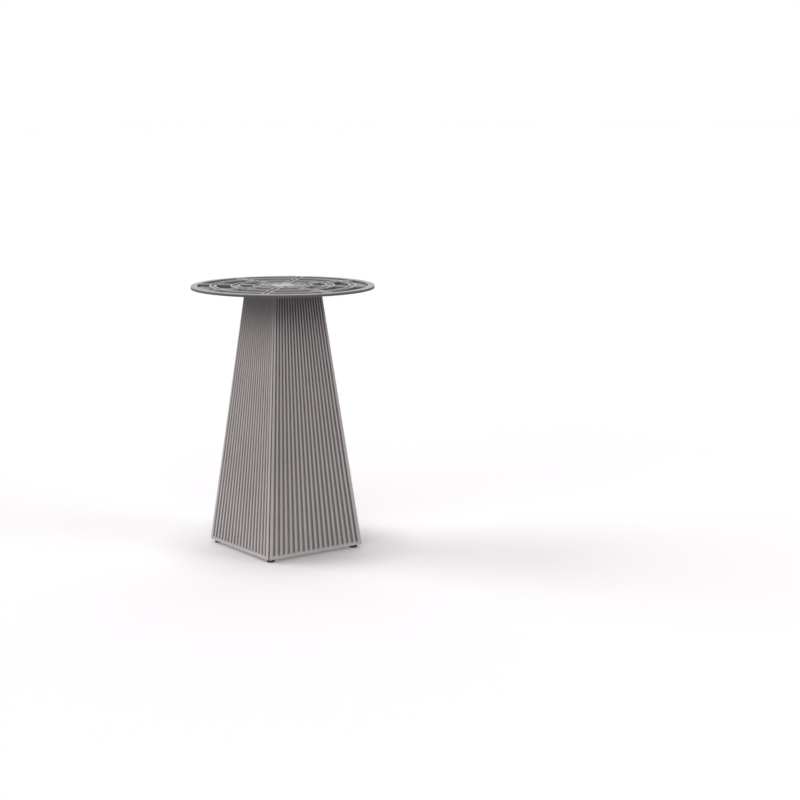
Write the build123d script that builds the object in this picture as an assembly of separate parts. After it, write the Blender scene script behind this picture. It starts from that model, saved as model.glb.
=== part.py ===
from build123d import *
import math
import os

os.makedirs("parts", exist_ok=True)

# Overall sizes, in millimetres. X and Y run across the faces of the base, Z is up from the floor.
total_height = 730.0
base_width = 309.6
neck_width = 154.4
floor_gap = 9.5

# Round top plate
plate_diameter = 502.0
rim_thickness = 7.4
rim_width = 17.0
rim_bevel = 0.8
hub_depth = 16.0
hub_margin = 2.8
plate_skin = 2.5
arm_count = 8
arm_width = 18.0
rib_wall = 3.2
channel_depth = 4.0
hub_disc_radius = 34.0
ring_widths = (20.0, 24.0, 18.0)
cell_shares = (28.0, 36.0, 40.0, 34.0)

# Screw holes for the table top, where the outer ring crosses every other arm
top_screw_count = 4
top_screw_hole_radius = 3.25
top_screw_boss_radius = 8.0

# Ribbed side panels
rib_count = 17
rib_width = 7.0
rib_depth = 6.0
rib_round = 1.6
panel_web = 2.0
strip_width = 10.4
corner_notch = 4.3
strip_round = 1.6
round_share = 0.46
bottom_rail = 6.5
top_rail = 9.0
mitre_gap = 1.5
panel_top_gap = 0.6

# Steel structure inside
base_plate_thickness = 10.0
base_plate_recess = 2.0
column_diameter = 60.3
column_wall = 2.5
flange_gap = 9.7
flange_thickness = 6.0
neck_plate_thickness = 3.0
neck_plate_drop = 18.0
plate_to_panel = 0.4

# Panel hooks that drop into the neck plate
hook_width = 24.0
hook_reach = 10.0
hook_thickness = 4.0
hook_lip = 6.0
hook_clearance = 0.3

# Screw bosses at the foot of each panel
boss_spacing = 140.0
boss_width = 12.0
boss_height = 22.0
boss_inset = 7.0

# Levelling feet
foot_inset = 19.0
foot_travel = 10.0
pad_diameter = 22.0
pad_height = 7.0
pad_socket_depth = 4.5
pad_bevel = 1.2
stud_diameter = 8.0
stud_top_clearance = 2.0
hexagon_across_flats = 13.0
stop_gap = 0.4
thread_clearance = 0.25
socket_clearance = 0.1

# Fasteners
bolt_diameter = 8.0
bolt_head_diameter = 14.0
bolt_head_height = 4.4
bolt_head_bevel = 1.8
bolt_circle_radius = 48.0
bolt_boss_radius = 12.5
bolt_head_recess = 0.6
bolt_end = 2.0
screw_diameter = 4.0
screw_length = 22.0
fastener_clearance = 0.25
bore_clearance = 0.05

# Levels and slopes that follow from the sizes above
rim_underside = total_height - rim_thickness
hub_underside = total_height - hub_depth
panel_bottom = floor_gap
panel_top = hub_underside - panel_top_gap
panel_rise = panel_top - panel_bottom
half_base = base_width / 2
taper = (base_width - neck_width) / 2 / panel_rise
lean = math.atan(taper)
panel_depth = (panel_web + rib_depth) / math.cos(lean)
base_plate_bottom = floor_gap + base_plate_recess
base_plate_top = base_plate_bottom + base_plate_thickness
flange_bottom = hub_underside - flange_thickness
neck_plate_top = flange_bottom - neck_plate_drop
foot_place = half_base - foot_inset
rib_pitch = (half_base - corner_notch - strip_width / 2) / ((rib_count + 1) / 2)
hub_flat_radius = neck_width / math.sqrt(2) + hub_margin
bolt_head_low = total_height - bolt_head_recess - bolt_head_height


def face_distance(level):
    """Distance of the ribbed faces from the centre line at a level."""
    return half_base - taper * (level - panel_bottom)


def back_distance(level):
    """Distance of the panels' inner faces from the centre line at a level."""
    return face_distance(level) - panel_depth


def shrink(level):
    """Size of a tapering detail at a level, as a share of its size at the lower edge."""
    return face_distance(level) / half_base


def around(solid, count):
    """Copies of a solid, evenly turned about the centre line."""
    return [Rot(0, 0, 360 / count * step) * solid for step in range(count)]


def upright(radius, low, high, x=0.0, y=0.0):
    """A cylinder from one level to another."""
    return Pos(x, y, low) * extrude(Circle(radius), high - low)


def panel_section(level):
    """Corners of the front panel at a level, mitred at both ends behind the shadow gap."""
    front = face_distance(level)
    back = back_distance(level)
    strip_edge = (half_base - corner_notch) * shrink(level)
    mitre_step = mitre_gap / 2 * math.sqrt(2)
    right_side = [
        (strip_edge, -front),
        (strip_edge, -(strip_edge + mitre_step)),
        (back - mitre_step, -back),
    ]
    left_side = [(-x, y) for x, y in reversed(right_side)]
    return [(x, y, level) for x, y in right_side + left_side]


def flat_sided(lower, upper):
    """Solid between two outlines of as many corners, with a flat side between each pair."""
    faces = [Face(Wire.make_polygon(lower)), Face(Wire.make_polygon(upper))]
    for step, corner in enumerate(lower):
        faces.append(Face(Wire.make_polygon([lower[step - 1], corner, upper[step], upper[step - 1]])))
    return Solid(Shell(faces))


def panel_grooves():
    """The tapering grooves between the ribs, drawn on the sloping face."""
    middle = (rib_count + 1) / 2
    strip_inner = half_base - corner_notch - strip_width
    edges = []
    for step in range(rib_count + 1):
        offset = (step + 0.5 - middle) * rib_pitch
        half_gap = (rib_pitch - rib_width) / 2
        edges.append((max(offset - half_gap, -strip_inner), min(offset + half_gap, strip_inner)))
    low = bottom_rail
    high = panel_rise - top_rail
    low_share = shrink(panel_bottom + low)
    high_share = shrink(panel_bottom + high)
    grooves = Sketch()
    for left, right in edges:
        corners = [
            (left * low_share, low / math.cos(lean)),
            (right * low_share, low / math.cos(lean)),
            (right * high_share, high / math.cos(lean)),
            (left * high_share, high / math.cos(lean)),
        ]
        grooves += make_face(Polyline(*corners, close=True))
    return grooves


def panel_hook():
    """Moulded hook at the panel's upper end, dropped into a slot of the neck plate."""
    seat = neck_plate_top + hook_clearance
    wall = back_distance(seat) + panel_web / 2
    tip = back_distance(seat) - hook_reach
    arm = Pos(0, -(wall + tip) / 2, seat + hook_thickness / 2) * Box(hook_width, wall - tip, hook_thickness)
    lip_place = tip + hook_thickness / 2
    lip = Pos(0, -lip_place, seat - hook_lip / 2) * Box(hook_width, hook_thickness, hook_lip)
    return arm + lip


def panel_boss(x):
    """Screw boss on the panel's inner face, standing on the base plate."""
    low = base_plate_top
    wall = back_distance(low) + panel_web / 2
    middle = back_distance(low) - boss_inset
    tip = middle - boss_width / 2
    slope = Vector(0, taper, 1).normalized()
    outline = Pos(x, -(wall + tip) / 2, low) * Rectangle(boss_width, wall - tip)
    block = extrude(outline, boss_height / slope.Z, dir=slope)
    bore = upright(screw_diameter / 2 + bore_clearance, low, base_plate_bottom + screw_length + 1, x, -middle)
    return block, bore


def side_panel():
    """The front panel: the other three are turned copies."""
    panel = flat_sided(panel_section(panel_bottom), panel_section(panel_top))
    face_plane = Plane(
        origin=(0, -half_base, panel_bottom),
        x_dir=(1, 0, 0),
        z_dir=(0, -math.cos(lean), math.sin(lean)),
    )
    panel -= extrude(face_plane * panel_grooves(), -rib_depth)
    outward = face_plane.z_dir
    front = max(panel.faces(), key=lambda face: face.area * (face.normal_at().dot(outward) > 0.999))
    rib_edges = [edge for wire in front.inner_wires() for edge in wire.edges() if is_long(edge)]
    panel = fillet(rib_edges, min(rib_round, round_share * rib_width * shrink(panel_top)))
    notch_depth = corner_notch * shrink(panel_top) - mitre_gap / 2 * math.sqrt(2)
    strip_edges = [edge for edge in panel.edges() if is_long(edge) and on_strip_edge(edge)]
    panel = fillet(strip_edges, min(strip_round, round_share * notch_depth))
    panel += panel_hook()
    for x in (-boss_spacing / 2, boss_spacing / 2):
        block, bore = panel_boss(x)
        panel = panel + block - bore
    return panel


def is_long(edge):
    """True for an edge that runs along the ribs."""
    return edge.length > panel_rise / 2


def on_strip_edge(edge):
    """True for an outer edge of the front face, where the shadow gap begins."""
    middle = edge @ 0.5
    strip_edge = (half_base - corner_notch) * shrink(middle.Z)
    on_front = abs(middle.Y + face_distance(middle.Z)) < 0.01
    return on_front and abs(abs(middle.X) - strip_edge) < 0.01


def arm_lines(width):
    """The eight arms of the plate as strips across it, of a width."""
    strips = Sketch()
    for step in range(arm_count // 2):
        strips += Rot(0, 0, 360 / arm_count * step) * Rectangle(plate_diameter, width)
    return strips


def cell_bands():
    """Inner and outer radius of each band of cells, from the hub disc out to the rim."""
    room = plate_diameter / 2 - rim_width - hub_disc_radius - sum(ring_widths)
    bands = []
    inner = hub_disc_radius
    for share, ring_width in zip(cell_shares, ring_widths + (0.0,)):
        outer = inner + room * share / sum(cell_shares)
        bands.append((inner, outer))
        inner = outer + ring_width
    return bands


def plate_cells():
    """Outline of the cells between arms and rings."""
    cells = Sketch()
    for inner, outer in cell_bands():
        cells += Circle(outer) - Circle(inner) - arm_lines(arm_width)
    bosses = Sketch()
    for place in bolt_places():
        bosses += Pos(*place) * Circle(bolt_boss_radius)
    return cells - bosses


def plate_channels():
    """Outline of the shallow channels between the double ribs of arms and rings."""
    channels = arm_lines(arm_width - 2 * rib_wall)
    bands = cell_bands()
    for (_, ring_inner), (ring_outer, _) in zip(bands[:-1], bands[1:]):
        channels += Circle(ring_outer - rib_wall) - Circle(ring_inner + rib_wall)
    channels -= Circle(hub_disc_radius)
    channels &= Circle(plate_diameter / 2 - rim_width)
    for place in bolt_places():
        channels -= Pos(*place) * Circle(bolt_boss_radius)
    for place in top_screw_places():
        channels -= Pos(*place) * Circle(top_screw_boss_radius)
    return channels


def bolt_places():
    """Centres of the bolts that hold the plate to the flange, on the diagonal arms."""
    angles = [math.radians(45 + 90 * step) for step in range(4)]
    return [(bolt_circle_radius * math.cos(a), bolt_circle_radius * math.sin(a)) for a in angles]


def top_screw_places():
    """Centres of the screw holes for the table top."""
    angles = [2 * math.pi / top_screw_count * step for step in range(top_screw_count)]
    bands = cell_bands()
    radius = (bands[-2][1] + bands[-1][0]) / 2
    return [(radius * math.cos(a), radius * math.sin(a)) for a in angles]


def top_plate():
    """Round cast plate: plain rim, smooth coned underside, double ribs and cells on top."""
    radius = plate_diameter / 2
    profile = Polyline(
        (0, hub_underside),
        (hub_flat_radius, hub_underside),
        (radius, rim_underside),
        (radius, total_height),
        (0, total_height),
        close=True,
    )
    body = revolve(Plane.XZ * make_face(profile), Axis.Z)
    rim_edges = [edge for edge in body.edges() if abs(edge.length - math.pi * plate_diameter) < 0.01]
    body = chamfer(max(rim_edges, key=lambda edge: edge.center().Z), rim_bevel)
    void_profile = Polyline(
        (0, hub_underside + plate_skin),
        (hub_flat_radius, hub_underside + plate_skin),
        (radius, rim_underside + plate_skin),
        (radius, total_height + 1),
        (0, total_height + 1),
        close=True,
    )
    void = revolve(Plane.XZ * make_face(void_profile), Axis.Z)
    cells = Pos(0, 0, hub_underside) * extrude(plate_cells(), hub_depth + 1)
    channels = Pos(0, 0, total_height - channel_depth) * extrude(plate_channels(), channel_depth + 1)
    plate = body - (cells & void) - channels
    for x, y in bolt_places():
        plate -= upright(bolt_diameter / 2 + fastener_clearance, hub_underside - 1, total_height + 1, x, y)
        plate -= upright(bolt_head_diameter / 2 + fastener_clearance, bolt_head_low, total_height + 1, x, y)
    for x, y in top_screw_places():
        plate -= upright(top_screw_hole_radius, hub_underside - 1, total_height + 1, x, y)
    return plate


def plate_bolts():
    """Button-head bolts, let into the plate's bosses and screwed into the flange."""
    bolts = []
    for x, y in bolt_places():
        head = upright(bolt_head_diameter / 2, bolt_head_low, bolt_head_low + bolt_head_height, x, y)
        head = chamfer(head.edges().sort_by(Axis.Z)[-1], bolt_head_bevel)
        shank = upright(bolt_diameter / 2, flange_bottom - bolt_end, bolt_head_low, x, y)
        bolts.append(head + shank)
    return Compound(children=bolts)


def top_flange():
    """Square steel plate on the column, tapped for the bolts."""
    width = 2 * (back_distance(flange_bottom) - flange_gap)
    flange = Pos(0, 0, flange_bottom) * extrude(Rectangle(width, width), flange_thickness)
    for x, y in bolt_places():
        flange -= upright(bolt_diameter / 2 + bore_clearance, flange_bottom - 1, hub_underside + 1, x, y)
    return flange


def column():
    """Round tube that carries the plate."""
    ring = Circle(column_diameter / 2) - Circle(column_diameter / 2 - column_wall)
    return Pos(0, 0, base_plate_top) * extrude(ring, flange_bottom - base_plate_top)


def neck_plate():
    """Thin square plate on the column, slotted for the panels' hooks."""
    width = 2 * (back_distance(neck_plate_top) - plate_to_panel)
    low = neck_plate_top - neck_plate_thickness
    plate = Pos(0, 0, low) * extrude(Rectangle(width, width), neck_plate_thickness)
    plate -= upright(column_diameter / 2 + fastener_clearance, low - 1, neck_plate_top + 1)
    tip = back_distance(neck_plate_top + hook_clearance) - hook_reach
    slot_place = tip + hook_thickness / 2
    slot = Pos(0, -slot_place, low) * Box(hook_width + 2 * hook_clearance, hook_thickness + 2 * hook_clearance,
                                          4 * neck_plate_thickness)
    for cut in around(slot, 4):
        plate -= cut
    return plate


def base_plate():
    """Thick steel plate: closes the base, ballasts it, and is tapped for the feet."""
    width = 2 * (back_distance(base_plate_top) - plate_to_panel)
    plate = Pos(0, 0, base_plate_bottom) * extrude(Rectangle(width, width), base_plate_thickness)
    for x, y in foot_places():
        plate -= upright(stud_diameter / 2 + thread_clearance, base_plate_bottom - 1, base_plate_top + 1, x, y)
    for x, y in base_screw_places():
        plate -= upright(screw_diameter / 2 + fastener_clearance, base_plate_bottom - 1, base_plate_top + 1, x, y)
    return plate


def base_screw_places():
    """Centres of the screws, two under each panel."""
    inset = back_distance(base_plate_top) - boss_inset
    half = boss_spacing / 2
    return [place for side in (-1, 1) for end in (-1, 1)
            for place in ((end * half, side * inset), (side * inset, end * half))]


def foot_places():
    """Centres of the feet, near the corners of the base."""
    return [(side * foot_place, end * foot_place) for end in (-1, 1) for side in (-1, 1)]


def foot_pad(x, y):
    """Nylon pad with a blind socket for the stud."""
    pad = upright(pad_diameter / 2, 0, pad_height, x, y)
    pad = chamfer(pad.edges().sort_by(Axis.Z)[-1], pad_bevel)
    return pad - upright(stud_diameter / 2 + socket_clearance, pad_height - pad_socket_depth, pad_height + 1, x, y)


def foot_stud(x, y):
    """Stud with a hexagon for the spanner, screwed through the base plate."""
    hexagon_top = base_plate_bottom - stop_gap
    low = pad_height - pad_socket_depth
    high = base_plate_top + foot_travel + stud_top_clearance
    stud = upright(stud_diameter / 2, low, high, x, y)
    hexagon = RegularPolygon(hexagon_across_flats / 2, 6, major_radius=False)
    return stud + Pos(x, y, pad_height) * extrude(hexagon, hexagon_top - pad_height)


def save(name, shape):
    """Write one piece to its own file."""
    export_step(shape, f"parts/{name}.step")


panel_names = ("front", "right", "back", "left")
foot_names = ("front_left", "front_right", "back_left", "back_right")

for name, panel in zip(panel_names, around(side_panel(), 4)):
    save(f"side_panel_{name}", panel)
for name, (x, y) in zip(foot_names, foot_places()):
    save(f"foot_pad_{name}", foot_pad(x, y))
    save(f"foot_stud_{name}", foot_stud(x, y))
save("top_plate", top_plate())
save("plate_bolts", plate_bolts())
save("top_flange", top_flange())
save("column", column())
save("neck_plate", neck_plate())
save("base_plate", base_plate())
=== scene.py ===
import math

import bpy
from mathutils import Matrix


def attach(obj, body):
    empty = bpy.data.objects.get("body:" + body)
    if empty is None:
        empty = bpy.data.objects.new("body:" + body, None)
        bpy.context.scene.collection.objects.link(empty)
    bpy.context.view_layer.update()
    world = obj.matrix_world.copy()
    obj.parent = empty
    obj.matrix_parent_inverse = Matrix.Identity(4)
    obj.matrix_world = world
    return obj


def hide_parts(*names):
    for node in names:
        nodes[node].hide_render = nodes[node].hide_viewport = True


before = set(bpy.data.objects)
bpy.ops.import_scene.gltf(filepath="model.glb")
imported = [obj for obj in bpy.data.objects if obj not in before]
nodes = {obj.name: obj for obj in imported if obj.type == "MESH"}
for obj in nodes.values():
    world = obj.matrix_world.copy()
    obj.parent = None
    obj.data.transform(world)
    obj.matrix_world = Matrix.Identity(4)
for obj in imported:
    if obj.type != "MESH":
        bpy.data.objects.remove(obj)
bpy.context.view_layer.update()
print("frame loaded:", len(nodes), "nodes")


# camera, standing where the photograph was taken

cameraSettings = {
    "place": (-2.633, -4.100, 1.2386),
    "pitchDown": 0.1687,
    "yaw": 0.6367,
    "lens": 80.2,
    "sensor": 36.0,
}

cameraData = bpy.data.cameras.new("photoCamera")
cameraData.lens = cameraSettings["lens"]
cameraData.sensor_width = cameraSettings["sensor"]
camera = bpy.data.objects.new("photoCamera", cameraData)
camera.location = cameraSettings["place"]
camera.rotation_euler = (math.pi / 2 - cameraSettings["pitchDown"], 0, -cameraSettings["yaw"])
bpy.context.scene.collection.objects.link(camera)
bpy.context.scene.camera = camera
bpy.context.scene.view_settings.view_transform = "Standard"
print("camera set")


# helpers for node trees

def addNode(tree, kind, x, y, **settings):
    node = tree.nodes.new(kind)
    node.location = (x, y)
    for key, value in settings.items():
        setattr(node, key, value)
    return node


def plug(tree, socket, value):  # a number or colour is set, an output is linked
    if isinstance(value, bpy.types.NodeSocket):
        tree.links.new(value, socket)
    elif isinstance(value, tuple) and len(value) == 3 and socket.type == "RGBA":
        socket.default_value = (*value, 1)
    else:
        socket.default_value = value


def newMaterial(name):
    material = bpy.data.materials.new(name)
    material.use_nodes = True
    tree = material.node_tree
    shader = tree.nodes["Principled BSDF"]
    coordinates = addNode(tree, "ShaderNodeTexCoord", -1500, 0)
    return material, tree, shader, coordinates.outputs["Object"]


def noise(tree, source, scale, detail, x, y, stretch=None):  # stretch squeezes the pattern along an axis
    if stretch:
        mapping = addNode(tree, "ShaderNodeMapping", x - 180, y)
        mapping.inputs["Scale"].default_value = stretch
        plug(tree, mapping.inputs["Vector"], source)
        source = mapping.outputs["Vector"]
    node = addNode(tree, "ShaderNodeTexNoise", x, y)
    node.inputs["Scale"].default_value = scale
    node.inputs["Detail"].default_value = detail
    plug(tree, node.inputs["Vector"], source)
    return node.outputs["Fac"]


def remap(tree, source, low, high, toLow, toHigh, x, y):
    node = addNode(tree, "ShaderNodeMapRange", x, y)
    for socket, value in zip(("From Min", "From Max", "To Min", "To Max"), (low, high, toLow, toHigh)):
        node.inputs[socket].default_value = value
    plug(tree, node.inputs["Value"], source)
    return node.outputs["Result"]


def mixColours(tree, factor, first, second, x, y, blend="MIX"):
    node = addNode(tree, "ShaderNodeMix", x, y, data_type="RGBA", blend_type=blend)
    plug(tree, node.inputs[0], factor)
    plug(tree, node.inputs[6], first)
    plug(tree, node.inputs[7], second)
    return node.outputs[2]


def calculate(tree, operation, first, second, x, y):
    node = addNode(tree, "ShaderNodeMath", x, y, operation=operation)
    plug(tree, node.inputs[0], first)
    plug(tree, node.inputs[1], second)
    return node.outputs[0]


def bump(tree, height, distance, strength, x, y, under=None):
    node = addNode(tree, "ShaderNodeBump", x, y)
    node.inputs["Strength"].default_value = strength
    node.inputs["Distance"].default_value = distance
    plug(tree, node.inputs["Height"], height)
    if under:
        plug(tree, node.inputs["Normal"], under)
    return node.outputs["Normal"]


def heightOf(tree, source, x, y):
    node = addNode(tree, "ShaderNodeSeparateXYZ", x, y)
    plug(tree, node.inputs["Vector"], source)
    return node.outputs["Z"]


def fromAxis(tree, source, x, y):  # distance from the upright axis, the larger of |x| and |y|
    axes = addNode(tree, "ShaderNodeSeparateXYZ", x, y)
    plug(tree, axes.inputs["Vector"], source)
    across = calculate(tree, "ABSOLUTE", axes.outputs["X"], 0.0, x + 200, y + 100)
    along = calculate(tree, "ABSOLUTE", axes.outputs["Y"], 0.0, x + 200, y - 100)
    return calculate(tree, "MAXIMUM", across, along, x + 400, y)


def seenRay(tree, x, y):  # 1 where the camera or a mirroring surface looks, 0 for light that spreads
    path = addNode(tree, "ShaderNodeLightPath", x, y).outputs
    return calculate(tree, "MAXIMUM", path["Is Camera Ray"], path["Is Glossy Ray"], x + 200, y)


def edgeWear(tree, radius, x, y):  # 1 on a sharp outer edge, 0 on a flat face
    rounded = addNode(tree, "ShaderNodeBevel", x, y, samples=6)
    rounded.inputs["Radius"].default_value = radius
    surface = addNode(tree, "ShaderNodeNewGeometry", x, y - 160)
    dot = addNode(tree, "ShaderNodeVectorMath", x + 180, y, operation="DOT_PRODUCT")
    plug(tree, dot.inputs[0], rounded.outputs["Normal"])
    plug(tree, dot.inputs[1], surface.outputs["True Normal"])
    return remap(tree, dot.outputs["Value"], 0.97, 0.75, 0.0, 1.0, x + 360, y)


# helpers for geometry node trees, which work in millimetres until their last step

def newTree(name, values):  # each value becomes a named input; a material is given as "material"
    tree = bpy.data.node_groups.new(name, "GeometryNodeTree")
    tree.is_modifier = True
    for label, value in values.items():
        kind = "Material" if label == "material" else "Int" if isinstance(value, int) else "Float"
        socket = tree.interface.new_socket(name=label, in_out="INPUT", socket_type="NodeSocket" + kind)
        if kind != "Material":
            socket.default_value = value
    tree.interface.new_socket(name="Geometry", in_out="OUTPUT", socket_type="NodeSocketGeometry")
    given = addNode(tree, "NodeGroupInput", -400, 0)
    return tree, {label: given.outputs[label] for label in values}


def use(tree, kind, inputs=None, **settings):  # a node with its inputs plugged, laid out by order
    count = len(tree.nodes)
    node = addNode(tree, kind, 190 * (count % 14), -230 * (count // 14), **settings)
    for key, value in (inputs or {}).items():
        for single in value if isinstance(value, list) else [value]:
            plug(tree, node.inputs[key], single)
    return node.outputs[0]


def reckon(tree, operation, first, second=0.0):
    return use(tree, "ShaderNodeMath", {0: first, 1: second}, operation=operation)


def minus(tree, value):  # the value with its sign turned
    return reckon(tree, "MULTIPLY", value, -1.0)


def vector(tree, x, y, z):
    return use(tree, "ShaderNodeCombineXYZ", {"X": x, "Y": y, "Z": z})


def positionOf(tree):  # X, Y and Z of each point of the shape that the node is used on
    place = use(tree, "GeometryNodeInputPosition")
    return use(tree, "ShaderNodeSeparateXYZ", {"Vector": place}).node.outputs


def choose(tree, kind, index, values):  # the value of a list that an index points at
    count = len(tree.nodes)
    node = addNode(tree, "GeometryNodeIndexSwitch", 190 * (count % 14), -230 * (count // 14), data_type=kind)
    while len(node.index_switch_items) < len(values):
        node.index_switch_items.new()
    plug(tree, node.inputs["Index"], index)
    for step, value in enumerate(values):
        plug(tree, node.inputs[step + 1], value)
    return node.outputs[0]


def outline(tree, corners, rounds=None):  # closed flat curve through corners, some of them rounded
    line = use(tree, "GeometryNodeCurvePrimitiveLine")
    dots = use(tree, "GeometryNodeResampleCurve", {"Curve": line, "Count": len(corners)})
    index = use(tree, "GeometryNodeInputIndex")
    places = choose(tree, "VECTOR", index, [vector(tree, x, y, 0.0) for x, y in corners])
    curve = use(tree, "GeometryNodeSetPosition", {"Geometry": dots, "Position": places})
    curve = use(tree, "GeometryNodeSetSplineCyclic", {"Geometry": curve, "Cyclic": True})
    if rounds:
        radius = choose(tree, "FLOAT", index, rounds)
        curve = use(tree, "GeometryNodeFilletCurve", {"Curve": curve, "Count": 6, "Radius": radius},
                    mode="POLY")
    return curve


def prism(tree, curve, rise):  # closed upright solid over a flat curve
    floor = use(tree, "GeometryNodeFillCurve", {"Curve": curve}, mode="NGONS")
    walls = use(tree, "GeometryNodeExtrudeMesh", {"Mesh": floor, "Offset": (0.0, 0.0, 1.0),
                                                  "Offset Scale": rise, "Individual": False}, mode="FACES")
    underside = use(tree, "GeometryNodeFlipFaces", {"Mesh": floor})
    both = use(tree, "GeometryNodeJoinGeometry", {"Geometry": [underside, walls]})
    return use(tree, "GeometryNodeMergeByDistance", {"Geometry": both, "Distance": 0.001})


def lathe(tree, points, segments):  # closed turned solid from (radius, level) pairs, from the top down
    columns = len(points)
    grid = use(tree, "GeometryNodeMeshGrid", {"Size X": float(columns - 1), "Size Y": float(segments),
                                              "Vertices X": columns, "Vertices Y": segments + 1})
    place = positionOf(tree)
    column = reckon(tree, "ROUND", reckon(tree, "ADD", place["X"], (columns - 1) / 2))
    angle = reckon(tree, "MULTIPLY", place["Y"], 2 * math.pi / segments)
    radius = choose(tree, "FLOAT", column, [point[0] for point in points])
    level = choose(tree, "FLOAT", column, [point[1] for point in points])
    wrapped = vector(tree, reckon(tree, "MULTIPLY", radius, reckon(tree, "COSINE", angle)),
                     reckon(tree, "MULTIPLY", radius, reckon(tree, "SINE", angle)), level)
    turned = use(tree, "GeometryNodeSetPosition", {"Geometry": grid, "Position": wrapped})
    return use(tree, "GeometryNodeMergeByDistance", {"Geometry": turned, "Distance": 0.001})


def moved(tree, shape, place, turn=(0.0, 0.0, 0.0)):
    return use(tree, "GeometryNodeTransform", {"Geometry": shape, "Translation": place, "Rotation": turn})


def joined(tree, *shapes):
    return use(tree, "GeometryNodeJoinGeometry", {"Geometry": list(reversed(shapes))})


def cutFrom(tree, shape, cutter):
    return use(tree, "GeometryNodeMeshBoolean", {"Mesh 1": shape, "Mesh 2": cutter}, operation="DIFFERENCE",
               solver="EXACT")


def thread(tree, crest, depth, pitch, low, high):  # a ridge wound up a shank, both ends closed
    ridge = use(tree, "GeometryNodeCurvePrimitiveCircle", {"Resolution": 4, "Radius": depth})
    height = reckon(tree, "SUBTRACT", high, low)
    root = reckon(tree, "SUBTRACT", crest, depth)
    winding = use(tree, "GeometryNodeCurveSpiral",
                  {"Resolution": 20, "Rotations": reckon(tree, "DIVIDE", height, pitch), "Height": height,
                   "Start Radius": root, "End Radius": root, "Reverse": False})
    upright = use(tree, "GeometryNodeSetCurveNormal", {"Curve": winding}, mode="Z_UP")
    wound = use(tree, "GeometryNodeCurveToMesh", {"Curve": upright, "Profile Curve": ridge,
                                                  "Fill Caps": True})
    return moved(tree, wound, vector(tree, 0.0, 0.0, low))


def smoothRounds(tree, shape, limit=25.0):  # smooth where narrow faces of a round meet, sharp elsewhere
    angle = use(tree, "GeometryNodeInputMeshEdgeAngle")
    gentle = use(tree, "FunctionNodeCompare", {0: angle, 1: math.radians(limit)}, operation="LESS_THAN")
    shape = use(tree, "GeometryNodeSetShadeSmooth", {"Geometry": shape, "Shade Smooth": True}, domain="FACE")
    return use(tree, "GeometryNodeSetShadeSmooth", {"Geometry": shape, "Shade Smooth": gentle}, domain="EDGE")


def closeTree(tree, given, shape, turn=0.0):  # turned, put into metres, realized and given its material
    size = use(tree, "GeometryNodeTransform", {"Geometry": shape, "Rotation": vector(tree, 0.0, 0.0, turn),
                                               "Scale": (0.001, 0.001, 0.001)})
    real = use(tree, "GeometryNodeRealizeInstances", {"Geometry": size})
    done = use(tree, "GeometryNodeSetMaterial", {"Geometry": real, "Material": given["material"]})
    output = addNode(tree, "NodeGroupOutput", 190 * 15, 0)
    tree.links.new(done, output.inputs[0])


def bakePiece(name, tree, values):  # run a tree with its inputs set and keep the result as a plain mesh
    piece = bpy.data.objects.new(name, bpy.data.meshes.new(name))
    bpy.context.scene.collection.objects.link(piece)
    modifier = piece.modifiers.new("shape", "NODES")
    modifier.node_group = tree
    for item in tree.interface.items_tree:
        if item.in_out == "INPUT" and item.name in values:
            modifier[item.identifier] = values[item.name]
    view = bpy.context.evaluated_depsgraph_get()
    shape = bpy.data.meshes.new_from_object(piece.evaluated_get(view), depsgraph=view)
    piece.modifiers.remove(modifier)
    shape.name = name
    shape.materials.clear()
    shape.materials.append(values["material"])
    shape.polygons.foreach_set("material_index", [0] * len(shape.polygons))
    piece.data = shape
    return piece


def finishWith(material, *nodeNames):
    for nodeName in nodeNames:
        node = nodes[nodeName]
        node.data.materials.clear()
        node.data.materials.append(material)


# moulded side panels: satin lacquer over a fine spark-eroded grain

panelFinish = {
    "colour": (0.400, 0.366, 0.362),
    "patchColour": (0.368, 0.336, 0.332),
    "wornColour": (0.460, 0.426, 0.418),
    "grooveShade": 0.60,
    "faceAtFoot": 0.15585,
    "taper": 0.11024,
    "grooveDepth": (0.0012, 0.0058),
    "patchScale": 7.0,
    "grainScale": 1400.0,
    "grainDepth": 0.00005,
    "speckle": (0.93, 1.05),
    "rippleScale": 9.0,
    "rippleStretch": (14.0, 14.0, 1.0),
    "rippleDepth": 0.0002,
    "wearRadius": 0.0007,
    "roughness": (0.42, 0.56),
}


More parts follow.
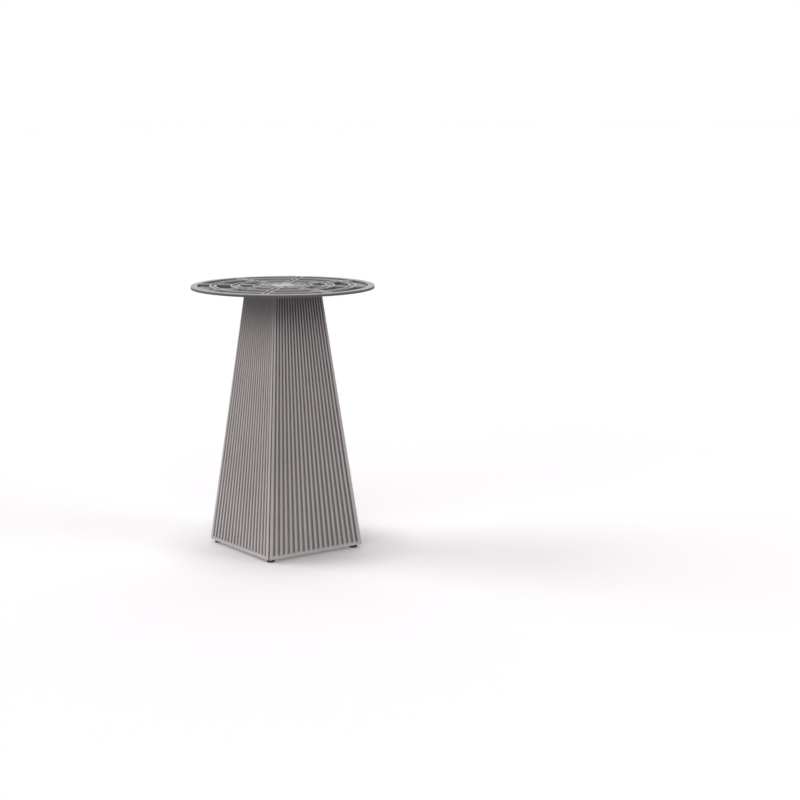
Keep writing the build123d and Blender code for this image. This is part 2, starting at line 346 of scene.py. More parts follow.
def makePanelFinish(settings):
    material, tree, shader, place = newMaterial("mouldedPanel")
    grain = noise(tree, place, settings["grainScale"], 3.0, -900, -400)
    ripple = noise(tree, place, settings["rippleScale"], 2.0, -900, -200, stretch=settings["rippleStretch"])
    patches = noise(tree, place, settings["patchScale"], 4.0, -900, 200)
    wide = remap(tree, patches, 0.3, 0.7, 0.0, 1.0, -700, 200)
    base = mixColours(tree, wide, settings["colour"], settings["patchColour"], -480, 240)
    wear = calculate(tree, "MULTIPLY", edgeWear(tree, settings["wearRadius"], -1300, 500), patches, -700, 480)
    colour = mixColours(tree, wear, base, settings["wornColour"], -260, 240)
    speckle = remap(tree, grain, 0.35, 0.65, *settings["speckle"], -480, -20)

    # painted shade: darker with depth below the face, which leans inwards with height, as the grooves fall in
    # shade
    outermost = fromAxis(tree, place, -1300, 900)
    lean = calculate(tree, "MULTIPLY", heightOf(tree, place, -1100, 750), settings["taper"], -900, 750)
    face = calculate(tree, "SUBTRACT", settings["faceAtFoot"], lean, -720, 750)
    depth = calculate(tree, "SUBTRACT", face, outermost, -540, 900)
    shade = remap(tree, depth, *settings["grooveDepth"], 1.0, settings["grooveShade"], -360, 900)
    shaded = mixColours(tree, 1.0, colour, shade, -160, 500, "MULTIPLY")
    plug(tree, shader.inputs["Base Color"], mixColours(tree, 1.0, shaded, speckle, -60, 240, "MULTIPLY"))
    plug(tree, shader.inputs["Roughness"], remap(tree, ripple, 0.3, 0.7, *settings["roughness"], -260, -60))
    fine = bump(tree, grain, settings["grainDepth"], 0.5, -480, -400)
    plug(tree, shader.inputs["Normal"], bump(tree, ripple, settings["rippleDepth"], 0.12, -260, -400, fine))
    return material


# side panels: seventeen ribs between tapering grooves, all worked out square and then drawn in to the neck

panelShape = {
    "ribCount": 17,
    "ribPitch": 16.144,
    "ribWidth": 7.0,
    "ribDepth": 6.0,
    "ribRound": 1.6,
    "grooveRound": 0.6,
    "ledgeRise": 3.0,
    "web": 2.0,
    "bottomRail": 6.5,
    "topRail": 9.0,
    "bottomLevel": 9.5,
    "rise": 703.9,
    "halfBase": 154.8,
    "halfNeck": 77.2,
    "cornerNotch": 4.3,
    "stripWidth": 10.4,
    "stripRound": 1.6,
    "mitreStep": 1.06,
    "bossPlace": 70.0,
    "bossWidth": 12.0,
    "bossHeight": 22.0,
    "bossInset": 7.0,
    "bossBore": 2.05,
    "bossRound": 1.5,
    "bossLevel": 21.5,
    "hookWidth": 24.0,
    "hookReach": 10.0,
    "hookThickness": 4.0,
    "hookLip": 6.0,
    "hookInnerRound": 0.5,
    "hookTipRound": 0.8,
    "hookOuterRound": 1.5,
    "hookLevel": 690.3,
    "turn": 0.0,
    "material": None,
}


def makePanelTree(values):
    tree, given = newTree("ribbedPanel", values)
    narrowing = reckon(tree, "SUBTRACT", given["halfBase"], given["halfNeck"])
    taper = reckon(tree, "DIVIDE", narrowing, given["rise"])
    slope = reckon(tree, "SQRT", reckon(tree, "ADD", reckon(tree, "MULTIPLY", taper, taper), 1.0))
    stripEdge = reckon(tree, "SUBTRACT", given["halfBase"], given["cornerNotch"])
    notchDepth = reckon(tree, "SUBTRACT", given["cornerNotch"], given["mitreStep"])
    thickness = reckon(tree, "ADD", given["ribDepth"], given["web"])
    minusEdge = minus(tree, stripEdge)
    slab = outline(tree, [(minusEdge, 0.0), (stripEdge, 0.0), (stripEdge, notchDepth), (stripEdge, thickness),
                          (minusEdge, thickness), (minusEdge, notchDepth)],
                   [given["stripRound"], given["stripRound"], 0.0, 0.0, 0.0, 0.0])
    body = prism(tree, slab, given["rise"])

    # one groove, with the rounds of the ribs at its mouth
    halfGap = reckon(tree, "MULTIPLY", reckon(tree, "SUBTRACT", given["ribPitch"], given["ribWidth"]), 0.5)
    mouth = reckon(tree, "ADD", halfGap, given["ribRound"])
    minusGap, minusMouth = minus(tree, halfGap), minus(tree, mouth)
    groove = outline(tree, [(minusMouth, -2.0), (mouth, -2.0), (mouth, 0.0), (halfGap, 0.0),
                            (halfGap, given["ribDepth"]), (minusGap, given["ribDepth"]), (minusGap, 0.0),
                            (minusMouth, 0.0)],
                     [0.0, 0.0, 0.0, given["ribRound"], given["grooveRound"], given["grooveRound"],
                      given["ribRound"], 0.0])
    rails = reckon(tree, "ADD", given["bottomRail"], given["topRail"])
    cutter = prism(tree, groove, reckon(tree, "SUBTRACT", given["rise"], rails))
    corner = positionOf(tree)
    isLow = reckon(tree, "LESS_THAN", corner["Z"], 1.0)
    inward = reckon(tree, "DIVIDE", reckon(tree, "MAXIMUM", corner["Y"], 0.0), given["ribDepth"])
    rise = reckon(tree, "MULTIPLY", reckon(tree, "MULTIPLY", inward, given["ledgeRise"]), isLow)
    ledge = vector(tree, 0.0, 0.0, rise)
    cutter = use(tree, "GeometryNodeSetPosition", {"Geometry": cutter, "Offset": ledge})

    # a row of grooves, the two end ones narrower beside the corner strips
    count = reckon(tree, "ADD", given["ribCount"], 1.0)
    lastPlace = reckon(tree, "MULTIPLY", reckon(tree, "MULTIPLY", given["ribCount"], 0.5), given["ribPitch"])
    endOuter = reckon(tree, "SUBTRACT", stripEdge, given["stripWidth"])
    endInner = reckon(tree, "SUBTRACT", lastPlace, halfGap)
    endPlace = reckon(tree, "MULTIPLY", reckon(tree, "ADD", endOuter, endInner), 0.5)
    endScale = reckon(tree, "DIVIDE", reckon(tree, "SUBTRACT", endOuter, endInner),
                      reckon(tree, "MULTIPLY", halfGap, 2.0))
    start = vector(tree, minus(tree, lastPlace), 0.0, given["bottomRail"])
    row = use(tree, "GeometryNodeMeshLine", {"Count": count, "Start Location": start,
                                             "Offset": vector(tree, given["ribPitch"], 0.0, 0.0)})
    across = positionOf(tree)["X"]
    isEnd = reckon(tree, "GREATER_THAN", reckon(tree, "ABSOLUTE", across), endPlace)
    endX = reckon(tree, "MULTIPLY", reckon(tree, "SIGN", across), endPlace)
    shift = reckon(tree, "MULTIPLY", isEnd, reckon(tree, "SUBTRACT", endX, across))
    change = reckon(tree, "SUBTRACT", endScale, 1.0)
    squeeze = reckon(tree, "ADD", 1.0, reckon(tree, "MULTIPLY", isEnd, change))
    cutters = use(tree, "GeometryNodeInstanceOnPoints", {"Points": row, "Instance": cutter,
                                                         "Scale": vector(tree, squeeze, 1.0, 1.0)})
    cutters = use(tree, "GeometryNodeTranslateInstances", {"Instances": cutters,
                                                           "Translation": vector(tree, shift, 0.0, 0.0)})
    cutters = use(tree, "GeometryNodeRealizeInstances", {"Geometry": cutters})
    panel = cutFrom(tree, body, cutters)

    # drawn in towards the neck, and mitred at the corners
    spot = positionOf(tree)
    distance = reckon(tree, "SUBTRACT", given["halfBase"], reckon(tree, "MULTIPLY", spot["Z"], taper))
    share = reckon(tree, "DIVIDE", distance, given["halfBase"])
    deep = reckon(tree, "MULTIPLY", spot["Y"], slope)
    limit = reckon(tree, "SUBTRACT", reckon(tree, "SUBTRACT", distance, deep), given["mitreStep"])
    scaled = reckon(tree, "MULTIPLY", reckon(tree, "ABSOLUTE", spot["X"]), share)
    wide = reckon(tree, "MINIMUM", scaled, limit)
    drawn = vector(tree, reckon(tree, "MULTIPLY", reckon(tree, "SIGN", spot["X"]), wide),
                   reckon(tree, "SUBTRACT", deep, distance),
                   reckon(tree, "ADD", spot["Z"], given["bottomLevel"]))
    panel = use(tree, "GeometryNodeSetPosition", {"Geometry": panel, "Position": drawn})

    # two bored bosses that lean with the wall, and a hook at the upper end
    backAt = {}
    for level in ("bossLevel", "hookLevel"):
        climb = reckon(tree, "SUBTRACT", given[level], given["bottomLevel"])
        outer = reckon(tree, "SUBTRACT", given["halfBase"], reckon(tree, "MULTIPLY", climb, taper))
        backAt[level] = reckon(tree, "SUBTRACT", outer, reckon(tree, "MULTIPLY", thickness, slope))
    halfWeb = reckon(tree, "MULTIPLY", given["web"], 0.5)
    halfBoss = reckon(tree, "MULTIPLY", given["bossWidth"], 0.5)
    minusBoss = minus(tree, halfBoss)
    bossRoot = minus(tree, reckon(tree, "ADD", given["bossInset"], halfWeb))
    block = outline(tree, [(minusBoss, bossRoot), (halfBoss, bossRoot), (halfBoss, halfBoss),
                           (minusBoss, halfBoss)], [0.0, 0.0, given["bossRound"], given["bossRound"]])
    bore = use(tree, "GeometryNodeCurvePrimitiveCircle", {"Resolution": 24, "Radius": given["bossBore"]})
    boss = prism(tree, joined(tree, block, bore), given["bossHeight"])
    lean = reckon(tree, "MULTIPLY", positionOf(tree)["Z"], taper)
    boss = use(tree, "GeometryNodeSetPosition", {"Geometry": boss, "Offset": vector(tree, 0.0, lean, 0.0)})
    bossY = reckon(tree, "SUBTRACT", given["bossInset"], backAt["bossLevel"])
    bosses = [moved(tree, boss, vector(tree, reckon(tree, "MULTIPLY", given["bossPlace"], side), bossY,
                                       given["bossLevel"])) for side in (-1.0, 1.0)]
    wall = minus(tree, reckon(tree, "ADD", backAt["hookLevel"], halfWeb))
    tip = reckon(tree, "SUBTRACT", given["hookReach"], backAt["hookLevel"])
    lip = reckon(tree, "SUBTRACT", tip, given["hookThickness"])
    low = reckon(tree, "SUBTRACT", given["hookLevel"], given["hookLip"])
    high = reckon(tree, "ADD", given["hookLevel"], given["hookThickness"])
    hook = outline(tree, [(wall, given["hookLevel"]), (lip, given["hookLevel"]), (lip, low), (tip, low),
                          (tip, high), (wall, high)],
                   [0.0, given["hookInnerRound"], given["hookTipRound"], given["hookTipRound"],
                    given["hookOuterRound"], 0.0])
    hook = prism(tree, hook, given["hookWidth"])
    hookStart = reckon(tree, "MULTIPLY", given["hookWidth"], -0.5)
    hook = moved(tree, hook, vector(tree, hookStart, 0.0, 0.0), (math.pi / 2, 0.0, math.pi / 2))
    closeTree(tree, given, smoothRounds(tree, joined(tree, panel, hook, *bosses)), given["turn"])
    return tree


panelTree = makePanelTree(panelShape)
panelMaterial = makePanelFinish(panelFinish)
for step, side in enumerate(("front", "right", "back", "left")):
    panel = bakePiece("ribbed_panel_" + side, panelTree,
                      {"turn": step * math.pi / 2, "material": panelMaterial})
    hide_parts("side_panel_" + side)
    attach(panel, "pedestal")
print("panels made")


# cast top plate: grey powder coat in paler and darker patches, with painted shade darkening it down in the
# recesses, at the hub and on the rim band, and painted highlights on worn edges of the tops

plateFinish = {
    "colour": (0.238, 0.230, 0.240),
    "ribColour": (0.260, 0.252, 0.262),
    "recessShadeColour": (0.087, 0.084, 0.089),
    "wornColour": (0.560, 0.550, 0.560),
    "topLevel": 0.7293,
    "recessLevel": 0.7258,
    "hubRadius": 0.034,
    "hubShade": 0.78,
    "rimRadius": (0.2300, 0.2380),
    "rimShade": 0.66,
    "patchScale": 24.0,
    "castScale": 420.0,
    "castDepth": 0.00012,
    "wearRadius": 0.0009,
    "roughness": (0.58, 0.74),
}


def makePlateFinish(settings):
    material, tree, shader, place = newMaterial("castPlate")
    level = heightOf(tree, place, -1200, 500)
    rise = remap(tree, level, settings["recessLevel"], settings["topLevel"], 0.0, 1.0, -900, 500)
    cast = noise(tree, place, settings["castScale"], 5.0, -900, -300)
    patches = noise(tree, place, settings["patchScale"], 4.0, -900, 200)
    wide = remap(tree, patches, 0.35, 0.68, 0.0, 1.0, -700, 200)
    base = mixColours(tree, wide, settings["colour"], settings["ribColour"], -480, 260)
    # painted shade: the colour darkens with depth down into the recesses
    colour = mixColours(tree, rise, settings["recessShadeColour"], base, -260, 260)
    # edges of the tops painted lighter: partly worn bare metal, partly painted highlights
    wearAndGlint = calculate(tree, "MULTIPLY", edgeWear(tree, settings["wearRadius"], -1300, 800), rise, -700, 700)
    withWearAndGlint = mixColours(tree, wearAndGlint, colour, settings["wornColour"], -60, 400)
    radius = addNode(tree, "ShaderNodeVectorMath", -700, 900, operation="LENGTH")
    flat = addNode(tree, "ShaderNodeMapping", -900, 900)  # on the plate's own plane, so that this is a radius
    flat.inputs["Scale"].default_value = (1.0, 1.0, 0.0)
    plug(tree, flat.inputs["Vector"], place)
    plug(tree, radius.inputs[0], flat.outputs["Vector"])
    # painted shade: the hub disc and the outer rim band are darkened, the rim against a glancing reflection
    hub = remap(tree, radius.outputs["Value"], settings["hubRadius"], settings["hubRadius"] + 0.001,
                settings["hubShade"], 1.0, -260, 700)
    rim = remap(tree, radius.outputs["Value"], *settings["rimRadius"], 1.0, settings["rimShade"], -260, 900)
    both = calculate(tree, "MULTIPLY", hub, rim, -60, 700)
    plug(tree, shader.inputs["Base Color"], mixColours(tree, 1.0, withWearAndGlint, both, 120, 400, "MULTIPLY"))
    plug(tree, shader.inputs["Roughness"], remap(tree, patches, 0.3, 0.7, *settings["roughness"], -260, 0))
    plug(tree, shader.inputs["Normal"], bump(tree, cast, settings["castDepth"], 0.4, -260, -300))
    return material


finishWith(makePlateFinish(plateFinish), "top_plate")
print("plate finished")


# structure inside: thin black dip coat on steel

steelFinish = {
    "colour": (0.035, 0.036, 0.038),
    "scuffColour": (0.09, 0.09, 0.092),
    "scuffScale": 60.0,
    "coatScale": 700.0,
    "coatDepth": 0.00006,
    "wearRadius": 0.0008,
    "roughness": (0.36, 0.58),
}


def makeSteelFinish(settings):
    material, tree, shader, place = newMaterial("coatedSteel")
    scuffs = noise(tree, place, settings["scuffScale"], 6.0, -900, 200, stretch=(1.0, 1.0, 0.25))
    texture = noise(tree, place, settings["coatScale"], 2.0, -900, -300)
    wear = calculate(tree, "MULTIPLY", edgeWear(tree, settings["wearRadius"], -1300, 500), scuffs, -700, 480)
    patches = remap(tree, scuffs, 0.58, 0.75, 0.0, 0.5, -700, 200)
    amount = calculate(tree, "MAXIMUM", wear, patches, -480, 300)
    plug(tree, shader.inputs["Base Color"],
         mixColours(tree, amount, settings["colour"], settings["scuffColour"], -260, 240))
    plug(tree, shader.inputs["Roughness"], remap(tree, scuffs, 0.3, 0.7, *settings["roughness"], -260, 0))
    plug(tree, shader.inputs["Normal"], bump(tree, texture, settings["coatDepth"], 0.4, -260, -300))
    return material


finishWith(makeSteelFinish(steelFinish), "top_flange", "column", "neck_plate", "base_plate")
print("inside structure finished")


# fasteners: bright zinc with a faint bloom

zincFinish = {
    "colour": (0.62, 0.64, 0.66),
    "bloomColour": (0.50, 0.51, 0.50),
    "bloomScale": 160.0,
    "turningScale": 500.0,
    "turningDepth": 0.00004,
    "roughness": (0.22, 0.42),
}


def makeMetalFinish(name, settings):
    material, tree, shader, place = newMaterial(name)
    bloom = noise(tree, place, settings["bloomScale"], 5.0, -900, 200)
    turning = noise(tree, place, settings["turningScale"], 2.0, -900, -300, stretch=(0.3, 0.3, 6.0))
    shader.inputs["Metallic"].default_value = 1.0
    plug(tree, shader.inputs["Base Color"],
         mixColours(tree, remap(tree, bloom, 0.4, 0.65, 0.0, 1.0, -700, 200), settings["colour"],
                    settings["bloomColour"], -260, 240))
    plug(tree, shader.inputs["Roughness"], remap(tree, bloom, 0.3, 0.7, *settings["roughness"], -260, 0))
    plug(tree, shader.inputs["Normal"], bump(tree, turning, settings["turningDepth"], 0.3, -260, -300))
    return material


zinc = makeMetalFinish("zincSteel", zincFinish)

plateBolts = {
    "boltCount": 4,
    "circleRadius": 48.0,
    "headLevel": 725.0,
    "headRadius": 7.0,
    "headHeight": 4.4,
    "socketWidth": 5.0,
    "socketDepth": 2.5,
    "shankRadius": 4.0,
    "shankLength": 19.0,
    "threadLength": 9.0,
    "threadPitch": 1.25,
    "threadDepth": 0.55,
    "threadStart": 0.8,
    "runoutLength": 0.6,
    "endChamfer": 0.5,
    "socketTurn": 0.83,
    "material": None,
}


def makeBoltTree(values):  # button-head bolts with a hexagon socket, in a ring on the plate's bosses
    tree, given = newTree("buttonBolts", values)
    radius, height, shank = given["headRadius"], given["headHeight"], given["shankRadius"]
    core = reckon(tree, "SUBTRACT", shank, given["threadDepth"])
    foot = minus(tree, given["shankLength"])
    runout = reckon(tree, "ADD", foot, given["threadLength"])
    dome = [(0.0, 1.0), (0.5, 1.0), (0.64, 0.95), (0.78, 0.82), (0.9, 0.62), (0.97, 0.4), (1.0, 0.18),
            (1.0, 0.0)]  # shares of the head's radius and height
    points = [(reckon(tree, "MULTIPLY", radius, a), reckon(tree, "MULTIPLY", height, b)) for a, b in dome]
    points += [(shank, 0.0), (shank, reckon(tree, "ADD", runout, given["runoutLength"])), (core, runout),
               (core, reckon(tree, "ADD", foot, given["endChamfer"])),
               (reckon(tree, "SUBTRACT", core, given["endChamfer"]), foot), (0.0, foot)]
    socket = use(tree, "GeometryNodeCurvePrimitiveCircle",
                 {"Resolution": 6, "Radius": reckon(tree, "DIVIDE", given["socketWidth"], math.sqrt(3))})
    sunk = reckon(tree, "SUBTRACT", height, given["socketDepth"])
    cutter = moved(tree, prism(tree, socket, 8.0), vector(tree, 0.0, 0.0, sunk))
    head = cutFrom(tree, lathe(tree, points, 40), cutter)
    start = reckon(tree, "ADD", foot, given["threadStart"])
    ridge = thread(tree, shank, given["threadDepth"], given["threadPitch"], start, runout)
    bolt = joined(tree, smoothRounds(tree, head, 32.0), smoothRounds(tree, ridge))
    ring = use(tree, "GeometryNodeMeshCircle", {"Vertices": given["boltCount"],
                                                "Radius": given["circleRadius"]})
    ring = moved(tree, ring, vector(tree, 0.0, 0.0, given["headLevel"]), (0.0, 0.0, math.pi / 4))
    index = use(tree, "GeometryNodeInputIndex")
    lean = vector(tree, 0.0, 0.0, reckon(tree, "MULTIPLY", index, given["socketTurn"]))  # at odd angles
    bolts = use(tree, "GeometryNodeInstanceOnPoints", {"Points": ring, "Instance": bolt, "Rotation": lean})
    closeTree(tree, given, bolts)
    return tree


bolts = bakePiece("button_bolts", makeBoltTree(plateBolts), {"material": zinc})
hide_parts("plate_bolts")
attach(bolts, "pedestal")


# screws from under the base plate into the panels' bosses

baseScrews = {
    "sideCount": 4,
    "spread": 140.0,
    "inset": 138.43,
    "level": 11.5,
    "headRadius": 3.8,
    "headHeight": 1.8,
    "slotLength": 4.2,
    "slotWidth": 0.9,
    "slotDepth": 1.1,
    "crestRadius": 2.0,
    "length": 22.0,
    "pointLength": 2.5,
    "threadPitch": 1.4,
    "threadDepth": 0.4,
    "threadStart": 3.0,
    "threadEnd": -0.8,
    "slotTurn": 0.6,
    "material": None,
}


def makeScrewTree(values):  # pan-head screws with a cross slot, two under each panel
    tree, given = newTree("panHeadScrews", values)
    radius, height, crest = given["headRadius"], given["headHeight"], given["crestRadius"]
    core = reckon(tree, "SUBTRACT", crest, given["threadDepth"])
    tip = minus(tree, given["length"])
    pan = [(0.0, 1.0), (0.55, 0.97), (0.8, 0.84), (0.94, 0.6), (1.0, 0.3), (1.0, 0.0)]  # shares, as above
    points = [(reckon(tree, "MULTIPLY", radius, a), reckon(tree, "MULTIPLY", height, b)) for a, b in pan]
    points += [(core, 0.0), (core, reckon(tree, "ADD", tip, given["pointLength"])), (0.0, tip)]
    halfSlot = reckon(tree, "MULTIPLY", given["slotLength"], 0.5)
    halfWidth = reckon(tree, "MULTIPLY", given["slotWidth"], 0.5)
    minusSlot, minusWidth = minus(tree, halfSlot), minus(tree, halfWidth)
    cross = outline(tree, [(minusSlot, minusWidth), (minusWidth, minusWidth), (minusWidth, minusSlot),
                           (halfWidth, minusSlot), (halfWidth, minusWidth), (halfSlot, minusWidth),
                           (halfSlot, halfWidth), (halfWidth, halfWidth), (halfWidth, halfSlot),
                           (minusWidth, halfSlot), (minusWidth, halfWidth), (minusSlot, halfWidth)])
    sunk = reckon(tree, "SUBTRACT", height, given["slotDepth"])
    cutter = moved(tree, prism(tree, cross, 4.0), vector(tree, 0.0, 0.0, sunk))
    head = cutFrom(tree, lathe(tree, points, 28), cutter)
    low = reckon(tree, "ADD", tip, given["threadStart"])
    ridge = thread(tree, crest, given["threadDepth"], given["threadPitch"], low, given["threadEnd"])
    screw = joined(tree, smoothRounds(tree, head, 32.0), smoothRounds(tree, ridge))
    screw = moved(tree, screw, (0.0, 0.0, 0.0), (math.pi, 0.0, 0.0))
    halfSpread = reckon(tree, "MULTIPLY", given["spread"], -0.5)
    start = vector(tree, halfSpread, minus(tree, given["inset"]), given["level"])
    pair = use(tree, "GeometryNodeMeshLine", {"Count": 2, "Start Location": start,
                                              "Offset": vector(tree, given["spread"], 0.0, 0.0)})
    index = use(tree, "GeometryNodeInputIndex")
    lean = vector(tree, 0.0, 0.0, reckon(tree, "MULTIPLY", index, given["slotTurn"]))
    pair = use(tree, "GeometryNodeInstanceOnPoints", {"Points": pair, "Instance": screw, "Rotation": lean})
    sides = use(tree, "GeometryNodePoints", {"Count": given["sideCount"]})
    turn = vector(tree, 0.0, 0.0, reckon(tree, "MULTIPLY", index, math.pi / 2))
    screws = use(tree, "GeometryNodeInstanceOnPoints", {"Points": sides, "Instance": pair, "Rotation": turn})
    closeTree(tree, given, screws)
    return tree


screws = bakePiece("base_screws", makeScrewTree(baseScrews), {"material": zinc})
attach(screws, "pedestal")
print("bolts and screws made")


# foot studs: a thread through the base plate and a hexagon for the spanner, blackened

studFinish = {
    "colour": (0.045, 0.045, 0.048),
    "bloomColour": (0.075, 0.073, 0.070),
    "bloomScale": 160.0,
    "turningScale": 500.0,
    "turningDepth": 0.00004,
    "roughness": (0.34, 0.52),
}
footStud = {
    "acrossFlats": 13.0,
    "hexagonLow": 7.0,
    "hexagonHigh": 11.1,
    "crestRadius": 4.0,
    "threadDepth": 0.55,
    "threadPitch": 1.25,
    "low": 2.5,
    "high": 33.5,
    "threadStart": 0.6,
    "threadEnd": 1.0,
    "noseIn": 0.6,
    "noseDown": 0.7,
    "endChamfer": 0.5,
    "cornerChamfer": 0.8,
    "washerShare": 0.47,
    "placeX": 135.8,
    "placeY": 135.8,
    "material": None,
}


def makeStudTree(values):  # a threaded stud, with a hexagon whose corners a double cone rounds off
    tree, given = newTree("threadedStud", values)
    crest, low, high = given["crestRadius"], given["low"], given["high"]
    core = reckon(tree, "SUBTRACT", crest, given["threadDepth"])
    nose = reckon(tree, "SUBTRACT", core, given["noseIn"])
    shank = lathe(tree, [(0.0, high), (nose, high), (core, reckon(tree, "SUBTRACT", high, given["noseDown"])),
                         (core, given["hexagonHigh"]), (crest, given["hexagonLow"]),
                         (crest, reckon(tree, "ADD", low, given["endChamfer"])),
                         (reckon(tree, "SUBTRACT", crest, given["endChamfer"]), low), (0.0, low)], 36)
    corner = reckon(tree, "DIVIDE", given["acrossFlats"], math.sqrt(3))
    hexagon = use(tree, "GeometryNodeCurvePrimitiveCircle", {"Resolution": 6, "Radius": corner})
    height = reckon(tree, "SUBTRACT", given["hexagonHigh"], given["hexagonLow"])
    block = moved(tree, prism(tree, hexagon, height), vector(tree, 0.0, 0.0, given["hexagonLow"]))
    washer = reckon(tree, "MULTIPLY", given["acrossFlats"], given["washerShare"])

    # the cone is a hair larger than the hexagon all round, for a clean cut
    outside = reckon(tree, "ADD", corner, 0.02)
    above = reckon(tree, "ADD", given["hexagonHigh"], 0.01)
    below = reckon(tree, "SUBTRACT", given["hexagonLow"], 0.01)
    cone = lathe(tree, [(0.0, above), (washer, above),
                        (outside, reckon(tree, "SUBTRACT", given["hexagonHigh"], given["cornerChamfer"])),
                        (outside, reckon(tree, "ADD", given["hexagonLow"], given["cornerChamfer"])),
                        (washer, below), (0.0, below)], 36)
    nut = use(tree, "GeometryNodeMeshBoolean", {"Mesh 2": [block, cone]}, operation="INTERSECT",
              solver="EXACT")
    start = reckon(tree, "ADD", given["hexagonHigh"], given["threadStart"])
    end = reckon(tree, "SUBTRACT", high, given["threadEnd"])
    ridge = thread(tree, crest, given["threadDepth"], given["threadPitch"], start, end)
    stud = joined(tree, smoothRounds(tree, shank), smoothRounds(tree, nut), smoothRounds(tree, ridge))
    stud = moved(tree, stud, vector(tree, given["placeX"], given["placeY"], 0.0))
    closeTree(tree, given, stud)
    return tree


studTree = makeStudTree(footStud)
blackened = makeMetalFinish("blackenedSteel", studFinish)
for depthName, sideY in (("front", -1), ("back", 1)):
    for widthName, sideX in (("left", -1), ("right", 1)):
        place = depthName + "_" + widthName
        stud = bakePiece("threaded_stud_" + place, studTree,
                         {"placeX": footStud["placeX"] * sideX, "placeY": footStud["placeY"] * sideY,
                          "material": blackened})
        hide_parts("foot_stud_" + place)
        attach(stud, "foot_" + place)
print("studs made")


# foot pads: moulded black nylon

nylonFinish = {
    "colour": (0.022, 0.022, 0.023),
    "dustColour": (0.06, 0.058, 0.055),
    "dustScale": 120.0,
    "grainScale": 1600.0,
    "grainDepth": 0.00004,
    "wearRadius": 0.0006,
    "roughness": (0.40, 0.60),
}


def makeNylonFinish(settings):
    material, tree, shader, place = newMaterial("footNylon")
    grain = noise(tree, place, settings["grainScale"], 2.0, -900, -300)
    dust = noise(tree, place, settings["dustScale"], 5.0, -900, 200)
    wear = edgeWear(tree, settings["wearRadius"], -1300, 500)
    amount = calculate(tree, "MULTIPLY", wear, dust, -700, 480)
    plug(tree, shader.inputs["Base Color"],
         mixColours(tree, amount, settings["colour"], settings["dustColour"], -260, 240))
    plug(tree, shader.inputs["Roughness"], remap(tree, dust, 0.3, 0.7, *settings["roughness"], -260, 0))
    plug(tree, shader.inputs["Normal"], bump(tree, grain, settings["grainDepth"], 0.4, -260, -300))
    return material


finishWith(makeNylonFinish(nylonFinish), *[name for name in nodes if name.startswith("foot_pad_")])
print("pads finished")


# floor: a wide white sheet that keeps the pedestal's shadow, with painted light glowing in the gap under the
# base that lifts that shadow

floorSettings = {
    "halfWidth": 60.0,
    "colour": (0.572, 0.559, 0.572),
    "bounceColour": (0.26, 0.256, 0.26),  # what the floor throws back on the object, far off and near
    "nearBounceColour": (0.48, 0.472, 0.48),
    "nearReach": (0.25, 1.10),
    "glowColour": (1.0, 0.95, 0.94),
    "seenGlow": 0.04,
    "paintedGapLight": 0.16,
    "gapEdge": (0.142, 0.158),
}


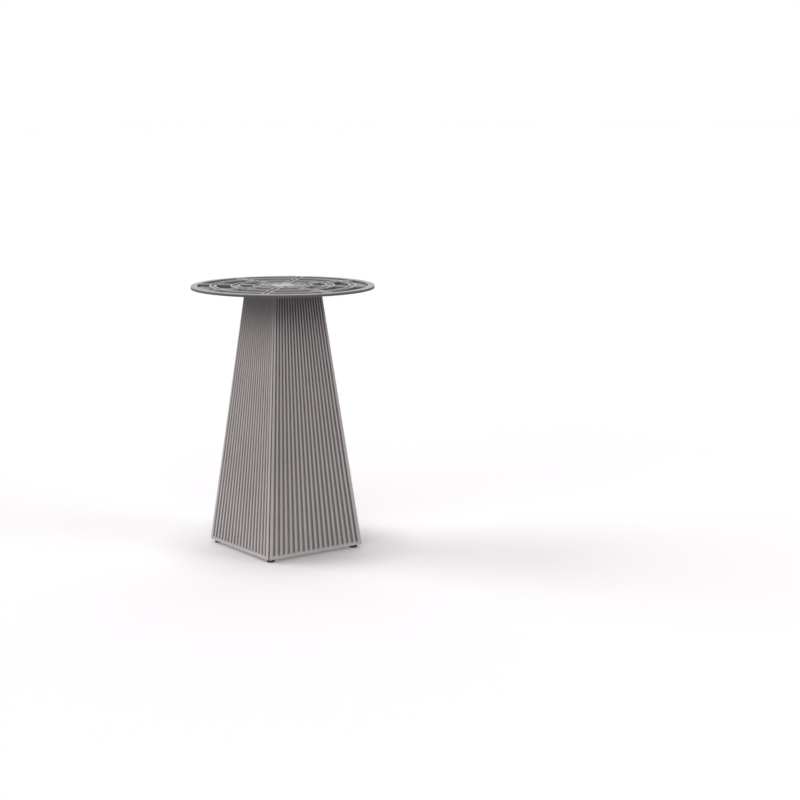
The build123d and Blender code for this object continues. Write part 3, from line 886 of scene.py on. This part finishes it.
def makeFloor(settings):
    half = settings["halfWidth"]
    mesh = bpy.data.meshes.new("floor")
    corners = [(-half, -half, 0), (half, -half, 0), (half, half, 0), (-half, half, 0)]
    mesh.from_pydata(corners, [], [(0, 1, 2, 3)])
    floor = bpy.data.objects.new("floor", mesh)
    bpy.context.scene.collection.objects.link(floor)
    material = bpy.data.materials.new("floorSheet")
    material.use_nodes = True
    tree = material.node_tree
    tree.nodes.clear()
    output = addNode(tree, "ShaderNodeOutputMaterial", 400, 0)
    total = addNode(tree, "ShaderNodeAddShader", 200, 0)
    matte = addNode(tree, "ShaderNodeBsdfDiffuse", 0, 100)
    glow = addNode(tree, "ShaderNodeEmission", 0, -100)
    seen = seenRay(tree, -400, -100)
    place = addNode(tree, "ShaderNodeTexCoord", -1300, 300).outputs["Object"]
    radius = addNode(tree, "ShaderNodeVectorMath", -1000, 500, operation="LENGTH")
    plug(tree, radius.inputs[0], place)
    near = remap(tree, radius.outputs["Value"], *settings["nearReach"], 1.0, 0.0, -800, 500)
    bounce = mixColours(tree, near, settings["bounceColour"], settings["nearBounceColour"], -500, 400)
    plug(tree, matte.inputs["Color"], mixColours(tree, seen, bounce, settings["colour"], -200, 140))
    # painted light: the floor glows brighter in the gap under the base, lifting the shadow there
    paintedLightUnderBase = settings["seenGlow"] + settings["paintedGapLight"]
    strength = remap(tree, fromAxis(tree, place, -1000, 100), *settings["gapEdge"], paintedLightUnderBase,
                     settings["seenGlow"], -400, 0)
    plug(tree, glow.inputs["Color"], settings["glowColour"])
    plug(tree, glow.inputs["Strength"], calculate(tree, "MULTIPLY", seen, strength, -100, -200))
    tree.links.new(matte.outputs[0], total.inputs[0])
    tree.links.new(glow.outputs[0], total.inputs[1])
    tree.links.new(total.outputs[0], output.inputs["Surface"])
    mesh.materials.append(material)


makeFloor(floorSettings)
print("floor laid")


# light: a room that looks white but lights little, a lamp overhead and wide soft lamps all round

lightSettings = {
    "room": 0.04,
    "lamps": (  # without tilt a lamp shines straight down, and a turn of -36 is from the camera's side
        {"name": "topLamp", "power": 1.7, "angle": 24.0, "tilt": 0.0, "turn": 0.0},
        {"name": "leftLamp", "power": 2.3, "angle": 40.0, "tilt": 55.0, "turn": -137.0},
        {"name": "frontLamp", "power": 1.0, "angle": 34.0, "tilt": 50.0, "turn": -36.0},
        {"name": "lowLeftLamp", "power": 0.66, "angle": 28.0, "tilt": 66.0, "turn": -70.0},
        {"name": "lowRightLamp", "power": 1.05, "angle": 28.0, "tilt": 66.0, "turn": 32.0},
        {"name": "backLamp", "power": 1.25, "angle": 60.0, "tilt": 42.0, "turn": 143.0},
    ),
}


def makeLight(settings):
    world = bpy.data.worlds.new("whiteRoom")
    bpy.context.scene.world = world
    world.use_nodes = True
    tree = world.node_tree
    tree.nodes.clear()
    output = addNode(tree, "ShaderNodeOutputWorld", 400, 0)
    background = addNode(tree, "ShaderNodeBackground", 200, 0)
    seen = seenRay(tree, -400, 0)
    plug(tree, background.inputs["Color"], (1.0, 1.0, 1.0))
    plug(tree, background.inputs["Strength"], remap(tree, seen, 0.0, 1.0, settings["room"], 1.0, 0, 0))
    tree.links.new(background.outputs[0], output.inputs["Surface"])
    for lampSettings in settings["lamps"]:
        lampData = bpy.data.lights.new(lampSettings["name"], "SUN")
        lampData.energy = lampSettings["power"]
        lampData.angle = math.radians(lampSettings["angle"])
        lamp = bpy.data.objects.new(lampSettings["name"], lampData)
        lamp.rotation_euler = (math.radians(lampSettings["tilt"]), 0, math.radians(lampSettings["turn"]))
        bpy.context.scene.collection.objects.link(lamp)


makeLight(lightSettings)
print("lights on")
